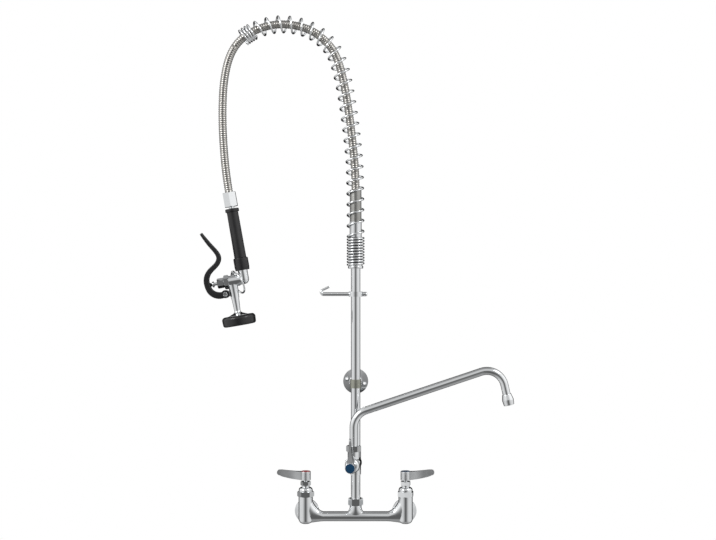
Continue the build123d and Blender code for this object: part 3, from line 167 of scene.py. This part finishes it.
# %% [markdown]
# ## Walking along a line
#
# Both the ribs and the spring need to know where they are after a given length of line, and which
# way is inward there. The line lies in one upright plane, so the plane's own normal is a steady
# sideways direction and nothing twists.

# %% Distance along a line
SIDEWAYS = Vector((0, 1, 0))


def line_length(line):
    """Length of a line of points."""
    return sum((b - a).length for a, b in zip(line, line[1:]))


def walk(line, distance):
    """Place and inward direction at a distance along a line; past its ends it goes straight on."""
    for a, b in zip(line, line[1:]):
        step = (b - a).length
        if distance <= step or b is line[-1]:
            along = (b - a).normalized()
            return a + along * distance, along.cross(SIDEWAYS).normalized()
        distance -= step


print(f"climb {line_length(climb_line):.3f} m, drop {line_length(drop_line):.3f} m")

# %% [markdown]
# ## The ribbed steel hose
#
# The hose is a wound steel strip, so its outside is a row of narrow round ribs. A bump map would
# leave a smooth edge against the white background, so the ribs are real. A straight hose is easy to
# make: one profile of ribs is spun about the hose's axis. Then every point is carried from the
# straight axis to the same distance along the route.

# %% Spin the ribs straight, then lay them along the route
HOSE_R = 0.00825
HOSE_SIDES = 28
HOSE_MERGE = 1e-6
RIB_DEPTH = 0.0009
RIB_PITCH = 0.0044
RIB_STEPS = 4
VALLEY_SHARPNESS = 4
HEIGHT_DIGITS = 7
FERRULE_PLAIN = 0.024
SPLIT_PLAIN = 0.0022
SWIVEL_PLAIN = 0.0225


def ribbed_hose(name, line, plain_start, plain_end):
    """A closed ribbed hose along a line, plain for a length at each end."""
    length = line_length(line)
    ribs = round((length - plain_start - plain_end) / RIB_PITCH)
    pitch = (length - plain_start - plain_end) / ribs
    rings = [(0.0, 0.0), (HOSE_R, 0.0)]
    for step in range(ribs * RIB_STEPS + 1):
        share = step / RIB_STEPS
        valley = math.cos(math.pi * share) ** VALLEY_SHARPNESS
        rings.append((HOSE_R - RIB_DEPTH * valley, plain_start + share * pitch))
    rings += [(HOSE_R, length), (0.0, length)]
    shape = bmesh.new()
    profile = [shape.verts.new((radius, 0, height)) for radius, height in rings]
    edges = [shape.edges.new(pair) for pair in zip(profile, profile[1:])]
    bmesh.ops.spin(shape, geom=profile + edges, cent=(0, 0, 0), axis=(0, 0, 1), angle=math.tau,
                   steps=HOSE_SIDES, use_merge=True)
    bmesh.ops.remove_doubles(shape, verts=shape.verts, dist=HOSE_MERGE)
    places = {}
    for vertex in shape.verts:
        height = round(vertex.co.z, HEIGHT_DIGITS)
        if height not in places:
            places[height] = walk(line, height)
        place, inward = places[height]
        vertex.co = place + inward * vertex.co.x + SIDEWAYS * vertex.co.y
    bmesh.ops.recalc_face_normals(shape, faces=shape.faces)
    for face in shape.faces:
        face.smooth = True
    mesh = bpy.data.meshes.new(name)
    shape.to_mesh(mesh)
    shape.free()
    print(f"{name}: {ribs} ribs, {len(mesh.polygons)} faces, {length:.3f} m")
    return new_object(name, mesh)


climb_hose = ribbed_hose("climb_hose", climb_line, FERRULE_PLAIN, SPLIT_PLAIN)
drop_hose = ribbed_hose("drop_hose", drop_line, SPLIT_PLAIN, SWIVEL_PLAIN)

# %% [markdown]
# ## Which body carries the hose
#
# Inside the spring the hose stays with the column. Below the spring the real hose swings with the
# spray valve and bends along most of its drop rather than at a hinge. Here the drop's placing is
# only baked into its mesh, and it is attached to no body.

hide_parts("overhead_hose")
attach(climb_hose, "faucet_base")
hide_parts("hanging_hose")
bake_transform(drop_hose)

# %% [markdown]
# ## The overhead spring
#
# The spring is one round wire: close turns on the hub, open turns up and over the arch, and a few
# close turns where the hose comes out. A helix wound round the hose's own line keeps the hose
# centred in it. Seen from the front its strands rise to the right, as a right-hand screw's do, so
# the angle runs against the line's own sideways direction. The wire is a curve with a round bevel,
# turned into a mesh so that it can be exported.

# %% Wind a wire round a line
TURN_STEPS = 28
WIRE_ROUNDNESS = 4
WIRE_MERGE = 1e-7
SIDE_CORNERS = 4
RIGHT_HAND = -1


def wound_wire(name, line, pitches, coil_r, wire_r, hand=1):
    """A wire wound round a line; pitches holds the advance of each turn, hand its sense."""
    spots = []
    travelled = 0.0
    for pitch in pitches:
        for step in range(TURN_STEPS):
            angle = hand * math.tau * step / TURN_STEPS
            place, inward = walk(line, travelled + pitch * step / TURN_STEPS)
            outward = inward * math.cos(angle) + SIDEWAYS * math.sin(angle)
            spots.append(place + outward * coil_r)
        travelled += pitch
    data = bpy.data.curves.new(name, "CURVE")
    data.dimensions = "3D"
    data.bevel_depth = wire_r
    data.bevel_resolution = WIRE_ROUNDNESS
    data.use_fill_caps = True
    spline = data.splines.new("POLY")
    spline.points.add(len(spots) - 1)
    for spot, place in zip(spline.points, spots):
        spot.co = (*place, 1.0)
    mesh = curve_mesh(name, data)
    shape = bmesh.new()
    shape.from_mesh(mesh)
    bmesh.ops.remove_doubles(shape, verts=shape.verts, dist=WIRE_MERGE)
    bmesh.ops.recalc_face_normals(shape, faces=shape.faces)
    for face in shape.faces:
        face.smooth = len(face.verts) <= SIDE_CORNERS  # the end caps stay flat
    shape.to_mesh(mesh)
    shape.free()
    mesh.name = name
    print(f"{name}: {len(pitches)} turns, {len(mesh.polygons)} faces")
    return new_object(name, mesh)


SPRING_R = 0.01625
SPRING_WIRE_R = 0.002
SPRING_FOOT = 0.5118
CLOSE_TURNS, CLOSE_PITCH = 10, 0.0057
OPEN_TURNS = 26
END_TURNS, END_PITCH = 4, 0.0058
SPRING_END_GAP = 0.024
spring_line = smooth_line("spring_line", ((0.0, SPRING_FOOT),) + CLIMB_POINTS[1:] + DROP_POINTS)
spring_line = spring_line[:nearest(spring_line, split) + 1]
open_length = (line_length(spring_line) - SPRING_END_GAP - CLOSE_TURNS * CLOSE_PITCH
               - END_TURNS * END_PITCH)
spring_pitches = ([CLOSE_PITCH] * CLOSE_TURNS + [open_length / OPEN_TURNS] * OPEN_TURNS
                  + [END_PITCH] * END_TURNS)
overhead_wire = wound_wire("overhead_wire", spring_line, spring_pitches, SPRING_R, SPRING_WIRE_R,
                           RIGHT_HAND)
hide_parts("overhead_spring")
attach(overhead_wire, "faucet_base")

# %% [markdown]
# ## The return spring
#
# Inside the spray valve a small spring pushes the plunger back on to its seat. It is out of sight,
# and it shortens when the lever is squeezed. Here it is wound again and carried by the spray valve.

# %% Small spring inside the spray valve
RETURN_R = 0.005
RETURN_WIRE_R = 0.00055
RETURN_TURNS = 5
RETURN_LENGTH = 0.0118
push = Vector(joints["plunger_slide"]["axis"]).normalized()
low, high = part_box("return_spring")
middle = (low + high) / 2
return_line = [middle - push * RETURN_LENGTH / 2, middle, middle + push * RETURN_LENGTH / 2]
return_pitches = [RETURN_LENGTH / RETURN_TURNS] * RETURN_TURNS
return_wire = wound_wire("return_wire", return_line, return_pitches, RETURN_R, RETURN_WIRE_R)
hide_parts("return_spring")
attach(return_wire, "spray_gun")
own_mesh(return_wire)

# %% [markdown]
# ## Shared surface effects
#
# Two effects come back in many finishes, so each is a node group with its own inputs. Polished
# metal is never evenly smooth: buffing leaves cloudy patches and hair-fine marks. Moulded rubber
# and plastic carry the grain of their mould and hold a little dust, which lifts their colour
# unevenly.

# %% Buffing haze and moulded grain as node groups
NOISE_LOW, NOISE_HIGH = 0.3, 0.7
PATCH_DETAIL = 4.0
MARK_DETAIL = 2.0
MARK_STRETCH = (1.0, 1.0, 0.08)
DUST_DETAIL = 6.0
PATCH_SCALE = 40.0
MARK_SCALE = 900.0
GRAIN_SCALE = 1600.0
DUST_SCALE = 30.0


def new_group(name, inputs, outputs):
    """Empty shader node group with float inputs and the given outputs."""
    group = bpy.data.node_groups.new(name, "ShaderNodeTree")
    for label, value in inputs:
        socket = group.interface.new_socket(label, in_out="INPUT", socket_type="NodeSocketFloat")
        socket.default_value = value
    for label in outputs:
        group.interface.new_socket(label, in_out="OUTPUT", socket_type="NodeSocketFloat")
    return group, group.nodes.new("NodeGroupInput"), group.nodes.new("NodeGroupOutput")


def spread(group, source, low, high):
    """Map a noise's usual values on to a range given by two sockets."""
    node = group.nodes.new("ShaderNodeMapRange")
    node.inputs["From Min"].default_value = NOISE_LOW
    node.inputs["From Max"].default_value = NOISE_HIGH
    group.links.new(source, node.inputs["Value"])
    group.links.new(low, node.inputs["To Min"])
    group.links.new(high, node.inputs["To Max"])
    return node.outputs["Result"]


def noise(group, place, scale, detail):
    """Noise texture at a place, with its scale from a socket."""
    node = group.nodes.new("ShaderNodeTexNoise")
    node.inputs["Detail"].default_value = detail
    group.links.new(place, node.inputs["Vector"])
    group.links.new(scale, node.inputs["Scale"])
    return node.outputs["Fac"]


def buffing_haze():
    """Cloudy roughness and fine marks left by a polishing wheel."""
    inputs = (("Patch Scale", PATCH_SCALE), ("Mark Scale", MARK_SCALE), ("Low", 0.04),
              ("High", 0.1))
    group, given, result = new_group("buffing_haze", inputs, ("Roughness", "Tone", "Height"))
    place = group.nodes.new("ShaderNodeTexCoord").outputs["Object"]
    patches = noise(group, place, given.outputs["Patch Scale"], PATCH_DETAIL)
    stretch = group.nodes.new("ShaderNodeMapping")
    stretch.inputs["Scale"].default_value = MARK_STRETCH
    group.links.new(place, stretch.inputs["Vector"])
    marks = noise(group, stretch.outputs["Vector"], given.outputs["Mark Scale"], MARK_DETAIL)
    rough = spread(group, patches, given.outputs["Low"], given.outputs["High"])
    group.links.new(rough, result.inputs["Roughness"])
    group.links.new(patches, result.inputs["Tone"])
    group.links.new(marks, result.inputs["Height"])
    return group


def moulded_grain():
    """Pebbled mould grain with a thin, uneven film of dust."""
    inputs = (("Grain Scale", GRAIN_SCALE), ("Dust Scale", DUST_SCALE), ("Low", 0.4),
              ("High", 0.6))
    group, given, result = new_group("moulded_grain", inputs, ("Roughness", "Dust", "Height"))
    place = group.nodes.new("ShaderNodeTexCoord").outputs["Object"]
    pebbles = group.nodes.new("ShaderNodeTexVoronoi")
    pebbles.feature = "SMOOTH_F1"
    group.links.new(place, pebbles.inputs["Vector"])
    group.links.new(given.outputs["Grain Scale"], pebbles.inputs["Scale"])
    dust = noise(group, place, given.outputs["Dust Scale"], DUST_DETAIL)
    rough = spread(group, dust, given.outputs["Low"], given.outputs["High"])
    group.links.new(rough, result.inputs["Roughness"])
    group.links.new(dust, result.inputs["Dust"])
    group.links.new(pebbles.outputs["Distance"], result.inputs["Height"])
    return group


HAZE = buffing_haze()
GRAIN = moulded_grain()
print("node groups:", HAZE.name, GRAIN.name)

# %% [markdown]
# ## From effects to finishes
#
# A finish is a principled shader fed by one of the groups. Values that are the same all over the
# surface are set on the shader itself. What changes over the surface, the tone, the roughness and
# the small relief, comes from the group.

# %% One function for metals, one for moulded pieces, one for a band of painted shade
RELIEF_DEPTH = 0.0002


def finish_nodes(name, group, values):
    """New material with a principled shader and the given effect group beside it."""
    material = bpy.data.materials.new(name)
    material.use_nodes = True
    tree = material.node_tree
    shader = tree.nodes["Principled BSDF"]
    effect = tree.nodes.new("ShaderNodeGroup")
    effect.node_tree = group
    for label, value in values.items():
        effect.inputs[label].default_value = value
    tree.links.new(effect.outputs["Roughness"], shader.inputs["Roughness"])
    return material, tree, shader, effect


def two_tones(tree, factor, first, second, target):
    """Colour that wanders between two tones."""
    mix = tree.nodes.new("ShaderNodeMix")
    mix.data_type = "RGBA"
    mix.inputs["A"].default_value = (*first, 1.0)
    mix.inputs["B"].default_value = (*second, 1.0)
    tree.links.new(factor, mix.inputs["Factor"])
    tree.links.new(mix.outputs["Result"], target)


def relief(tree, height, strength, shader):
    """Small relief from a height value."""
    bump = tree.nodes.new("ShaderNodeBump")
    bump.inputs["Strength"].default_value = strength
    bump.inputs["Distance"].default_value = RELIEF_DEPTH
    tree.links.new(height, bump.inputs["Height"])
    tree.links.new(bump.outputs["Normal"], shader.inputs["Normal"])


def metal(name, dark, light, rough, marks=0.02, patch_scale=PATCH_SCALE, mark_scale=MARK_SCALE):
    """Bare or plated metal between two tones and two roughnesses."""
    values = {"Patch Scale": patch_scale, "Mark Scale": mark_scale, "Low": rough[0],
              "High": rough[1]}
    material, tree, shader, effect = finish_nodes(name, HAZE, values)
    shader.inputs["Metallic"].default_value = 1.0
    two_tones(tree, effect.outputs["Tone"], dark, light, shader.inputs["Base Color"])
    relief(tree, effect.outputs["Height"], marks, shader)
    return material


def moulded(name, dark, light, rough, grain, grain_scale=GRAIN_SCALE, coat=0.0):
    """Rubber or plastic from a mould, between two tones and two roughnesses."""
    values = {"Grain Scale": grain_scale, "Dust Scale": DUST_SCALE, "Low": rough[0],
              "High": rough[1]}
    material, tree, shader, effect = finish_nodes(name, GRAIN, values)
    shader.inputs["Coat Weight"].default_value = coat
    two_tones(tree, effect.outputs["Dust"], dark, light, shader.inputs["Base Color"])
    relief(tree, effect.outputs["Height"], grain, shader)
    return material


def paint_shade_band(material, bottom, top, soft, tone):
    """Paint shade on a finish between two heights on its piece, softly at both ends."""
    tree = material.node_tree
    target = tree.nodes["Principled BSDF"].inputs["Base Color"]
    plain = target.links[0].from_socket
    place = tree.nodes.new("ShaderNodeSeparateXYZ")
    spot = tree.nodes.new("ShaderNodeTexCoord").outputs["Object"]
    tree.links.new(spot, place.inputs["Vector"])
    offset = tree.nodes.new("ShaderNodeMath")
    offset.operation = "SUBTRACT"
    offset.inputs[1].default_value = (bottom + top) / 2
    tree.links.new(place.outputs["Z"], offset.inputs[0])
    away = tree.nodes.new("ShaderNodeMath")
    away.operation = "ABSOLUTE"
    tree.links.new(offset.outputs["Value"], away.inputs[0])
    band = tree.nodes.new("ShaderNodeMapRange")
    band.inputs["From Min"].default_value = (top - bottom) / 2 - soft
    band.inputs["From Max"].default_value = (top - bottom) / 2
    band.inputs["To Min"].default_value = 1.0
    band.inputs["To Max"].default_value = 0.0
    tree.links.new(away.outputs["Value"], band.inputs["Value"])
    mix = tree.nodes.new("ShaderNodeMix")
    mix.data_type = "RGBA"
    mix.inputs["B"].default_value = (*tone, 1.0)
    tree.links.new(plain, mix.inputs["A"])
    tree.links.new(band.outputs["Result"], mix.inputs["Factor"])
    tree.links.new(mix.outputs["Result"], target)


# %% [markdown]
# ## The finishes of this faucet
#
# Chrome plate is bright with a slightly cold tone, and the lever handles are the same plate over a
# buffed casting, so they look satin. The hose strip is duller and a little warm, the crimped
# ferrule is darker still, and the clamp band is a satin, yellowish steel. The grip, lever and
# bumper are black rubber that looks dark grey where the light grazes it. The caps on the handles
# tell hot from cold.
#
# The hub is chrome too, but its plate gets painted shade under the spring's close turns, where
# shadow falls between the wires. This painted shade draws the thin black lines between the turns.

# %% Finishes by material slot
CHROME = {"dark": (0.74, 0.76, 0.77), "light": (0.82, 0.83, 0.84), "rough": (0.03, 0.09)}
# Painted shade on the hub: a dark band from the spring's foot to the top of its close turns.
COIL_TOP = SPRING_FOOT + CLOSE_TURNS * CLOSE_PITCH
COIL_SHADE = (0.05, 0.052, 0.055)
COIL_SHADE_SOFT = 0.002
CAP_GRAIN_SCALE = 900.0

finishes = {
    "chrome": metal("polished_chrome", **CHROME),
    "buffed_casting": metal(
        "buffed_casting", (0.66, 0.68, 0.69), (0.75, 0.76, 0.77), rough=(0.28, 0.36),
        marks=0.015, patch_scale=60.0),
    "hose_steel": metal(
        "wound_steel", (0.34, 0.33, 0.31), (0.46, 0.45, 0.43), rough=(0.14, 0.26),
        marks=0.05, patch_scale=90.0),
    "satin_band": metal(
        "satin_band", (0.30, 0.305, 0.26), (0.38, 0.385, 0.33), rough=(0.36, 0.52),
        marks=0.15, patch_scale=60.0, mark_scale=1400.0),
    "spring_steel": metal(
        "drawn_wire", (0.50, 0.50, 0.51), (0.62, 0.62, 0.63), rough=(0.18, 0.30)),
    "face_steel": metal(
        "drilled_plate", (0.52, 0.53, 0.54), (0.64, 0.65, 0.66), rough=(0.22, 0.36), marks=0.08),
    "ferrule_steel": metal(
        "crimped_steel", (0.30, 0.30, 0.285), (0.40, 0.40, 0.385), rough=(0.20, 0.32),
        marks=0.08, patch_scale=120.0),
    "black_rubber": moulded(
        "black_rubber", (0.006, 0.006, 0.007), (0.014, 0.014, 0.015), rough=(0.24, 0.36),
        grain=0.10),
    "seal_rubber": moulded(
        "seal_rubber", (0.012, 0.012, 0.012), (0.022, 0.022, 0.022), rough=(0.45, 0.6),
        grain=0.06),
    "ceramic": moulded(
        "lapped_ceramic", (0.80, 0.78, 0.74), (0.88, 0.86, 0.83), rough=(0.10, 0.18), grain=0.01),
    "white_plastic": moulded(
        "white_plastic", (0.68, 0.68, 0.67), (0.78, 0.78, 0.77), rough=(0.30, 0.42), grain=0.03),
    "index_red": moulded(
        "red_cap", (0.32, 0.010, 0.014), (0.42, 0.018, 0.022), rough=(0.20, 0.30), grain=0.02,
        grain_scale=CAP_GRAIN_SCALE, coat=0.1),
    "index_blue": moulded(
        "blue_cap", (0.000, 0.030, 0.080), (0.000, 0.044, 0.112), rough=(0.20, 0.30), grain=0.02,
        grain_scale=CAP_GRAIN_SCALE, coat=0.05),
}
slot_of = {part["node"]: part["material_slot"] for part in frame["record"]["subparts"]}
for name, node in nodes.items():
    node.data.materials.clear()
    node.data.materials.append(finishes[slot_of[name]])
# The hub's chrome carries painted shade under the spring's close turns.
hub_chrome_painted_shade = metal("hub_chrome_painted_shade", **CHROME)
paint_shade_band(hub_chrome_painted_shade, SPRING_FOOT, COIL_TOP, COIL_SHADE_SOFT, COIL_SHADE)
nodes["spring_hub"].data.materials[0] = hub_chrome_painted_shade
for piece, slot in ((climb_hose, "hose_steel"), (drop_hose, "hose_steel"),
                    (overhead_wire, "chrome"), (return_wire, "spring_steel")):
    piece.data.materials.append(finishes[slot])
print(f"{len(finishes)} finishes on {len(nodes)} solids and four wound pieces")

# %% [markdown]
# ## Smooth walls, crisp edges
#
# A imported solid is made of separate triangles, so its round walls would show as flat strips.
# Merging the doubled points lets the shading run round a wall, and splitting at steep angles keeps
# the edges of nuts and flanges. Both are modifiers, because the solids themselves are never
# changed.

# %% Weld and smooth the solids
WELD_DISTANCE = 1e-6
CREASE = math.radians(32)


def smooth_walls(obj):
    """Weld a solid's loose triangles and let the normals follow its round walls."""
    weld = obj.modifiers.new("weld", "WELD")
    weld.merge_threshold = WELD_DISTANCE
    crease = obj.modifiers.new("crease", "EDGE_SPLIT")
    crease.split_angle = CREASE
    crease.use_edge_sharp = False
    obj.data.shade_smooth()


for node in nodes.values():
    smooth_walls(node)

# %% [markdown]
# ## Floor and light
#
# Chrome shows what is around it, so the room is the lighting. The side walls are bright, the floor
# and ceiling are greyer, and a soft dark patch behind the camera gives each tube its dark middle
# line and each nut one dark flat. Straight behind the product the room is nearly black, which draws
# a thin dark edge round every tube and leaves the slanting flats of the nuts bright. The camera
# itself sees a plain pale background.
#
# The room turns with the camera, like a light tent that is carried round the product with it. A
# direction is read as the camera sees it: across, upward and onward. So the chrome looks bright
# from behind and from the sides too. Each step below says where along one of these it starts and
# ends, and the level before and after.

# %% A bright room with one dark patch
WALLS = (-0.15, 0.40, 0.34, 0.70)
CEILING = (0.82, 0.97, 1.0, 0.46)
SIDE_LIGHT = (0.20, 0.85, 0.0, 0.48)
BEHIND = (0.34, 0.66, 1.0, 0.03)
PATCH_SIDE = (0.05, 0.40, 1.0, 0.0)
PATCH_LOW = (-0.92, -0.76, 0.0, 1.0)
PATCH_HIGH = (0.02, 0.22, 1.0, 0.0)
PATCH_FRONT = (-0.5, -0.3, 1.0, 0.0)
PATCH_DEPTH = 0.62

world = bpy.data.worlds.new("studio")
bpy.context.scene.world = world
world.use_nodes = True
room = world.node_tree
room.nodes.clear()


def room_math(operation, first, second=None):
    """Math node on two values or sockets."""
    node = room.nodes.new("ShaderNodeMath")
    node.operation = operation
    for socket, value in zip(node.inputs, (first, second)):
        if isinstance(value, (int, float)):
            socket.default_value = value
        elif value is not None:
            room.links.new(value, socket)
    return node.outputs["Value"]


def soft_step(value, start, end, before, after):
    """Value that goes softly from one level to another."""
    node = room.nodes.new("ShaderNodeMapRange")
    node.interpolation_type = "SMOOTHSTEP"
    node.inputs["From Min"].default_value = start
    node.inputs["From Max"].default_value = end
    node.inputs["To Min"].default_value = before
    node.inputs["To Max"].default_value = after
    room.links.new(value, node.inputs["Value"])
    return node.outputs["Result"]


heading = room.nodes.new("ShaderNodeSeparateXYZ")
direction = room.nodes.new("ShaderNodeTexCoord").outputs["Camera"]
room.links.new(direction, heading.inputs["Vector"])
side = room_math("ABSOLUTE", heading.outputs["X"])
upward = heading.outputs["Y"]
onward = heading.outputs["Z"]
walls = room_math("MULTIPLY", soft_step(upward, *WALLS), soft_step(upward, *CEILING))
bright = room_math("ADD", walls, soft_step(side, *SIDE_LIGHT))
across = room_math("MULTIPLY", soft_step(side, *PATCH_SIDE), soft_step(onward, *PATCH_FRONT))
upright = room_math("MULTIPLY", soft_step(upward, *PATCH_LOW), soft_step(upward, *PATCH_HIGH))
patch = room_math("MULTIPLY", across, upright)
clear = room_math("SUBTRACT", 1.0, room_math("MULTIPLY", patch, PATCH_DEPTH))
behind = soft_step(onward, *BEHIND)
level = room_math("MULTIPLY", room_math("MULTIPLY", bright, behind), clear)
seen = room.nodes.new("ShaderNodeLightPath").outputs["Is Camera Ray"]
unseen = room_math("SUBTRACT", 1.0, seen)
shown = room_math("ADD", room_math("MULTIPLY", level, unseen), seen)
glow = room.nodes.new("ShaderNodeBackground")
glow.inputs["Color"].default_value = (1.0, 1.0, 1.0, 1.0)
room.links.new(shown, glow.inputs["Strength"])
exit_node = room.nodes.new("ShaderNodeOutputWorld")
room.links.new(glow.outputs["Background"], exit_node.inputs["Surface"])


def softbox(name, place, target, size, power):
    """Large soft lamp aimed at a point."""
    data = bpy.data.lights.new(name, "AREA")
    data.size = size
    data.energy = power
    lamp = new_object(name, data)
    lamp.location = place
    aim = Vector(target) - Vector(place)
    lamp.rotation_euler = aim.to_track_quat("-Z", "Y").to_euler()


softbox("left_softbox", place=(-1.9, -1.6, 1.7), target=(0, -0.06, 0.5), size=1.0, power=22)
softbox("right_softbox", place=(1.8, -1.3, 2.3), target=(0, -0.06, 0.45), size=0.8, power=14)

# %% Pale floor well below the faucet
FLOOR_Z = -0.55
FLOOR_HALF = 2.2
floor_shape = bmesh.new()
bmesh.ops.create_grid(floor_shape, x_segments=1, y_segments=1, size=FLOOR_HALF,
                      matrix=Matrix.Translation((0, 0, FLOOR_Z)))
floor_mesh = bpy.data.meshes.new("pale_floor")
floor_shape.to_mesh(floor_mesh)
floor_shape.free()
floor = new_object("pale_floor", floor_mesh)
floor.visible_glossy = False
floor.data.materials.append(moulded(
    "pale_floor", (0.94, 0.94, 0.94), (0.96, 0.96, 0.96), rough=(0.7, 0.8), grain=0.0))
bpy.context.scene.view_settings.view_transform = "Standard"
